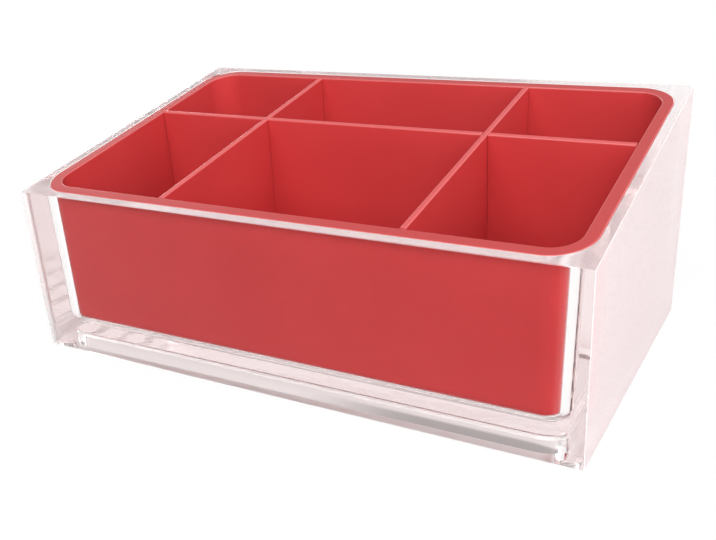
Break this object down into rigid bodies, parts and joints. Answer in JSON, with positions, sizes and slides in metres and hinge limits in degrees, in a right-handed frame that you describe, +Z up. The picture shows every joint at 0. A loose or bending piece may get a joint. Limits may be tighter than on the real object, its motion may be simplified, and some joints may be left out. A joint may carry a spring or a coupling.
{
  "type": "vanity organizer",
  "caption": "Thick clear slant-topped case with a lift-out coloured tray, hung by its rim and split into compartments by interlocking dividers, for make-up and small vanity items",
  "frame": {"origin": "centre of the bounding box on the plane that the foot pads rest on", "axes": "+X along the width to the right as seen from the front, +Y towards the tall back, +Z up"},
  "size_m": [0.22, 0.129, 0.0909],
  "materials": {
    "clear_acrylic": "clear polished acrylic",
    "red_plastic": "satin red moulded plastic",
    "clear_pad": "soft clear pad"
  },
  "bodies": {
    "case": {"outer_case": "clear_acrylic", "foot_pad_front_left": "clear_pad", "foot_pad_front_right": "clear_pad", "foot_pad_back_left": "clear_pad", "foot_pad_back_right": "clear_pad"},
    "tray": {"insert_tray": "red_plastic"},
    "grid": {"long_divider": "red_plastic"},
    "left_cross": {"cross_divider_left": "red_plastic"},
    "right_cross": {"cross_divider_right": "red_plastic"}
  },
  "joints": [
    {"name": "tray_lift", "type": "slide", "parent": "case", "child": "tray", "axis": [0, 0, 1], "range_m": [0, 0.085]},
    {"name": "grid_lift", "type": "slide", "parent": "tray", "child": "grid", "axis": [0, 0, 1], "range_m": [0, 0.08]},
    {"name": "left_cross_lift", "type": "slide", "parent": "grid", "child": "left_cross", "axis": [0, 0, 1], "range_m": [0, 0.08]},
    {"name": "right_cross_lift", "type": "slide", "parent": "grid", "child": "right_cross", "axis": [0, 0, 1], "range_m": [0, 0.08]}
  ]
}
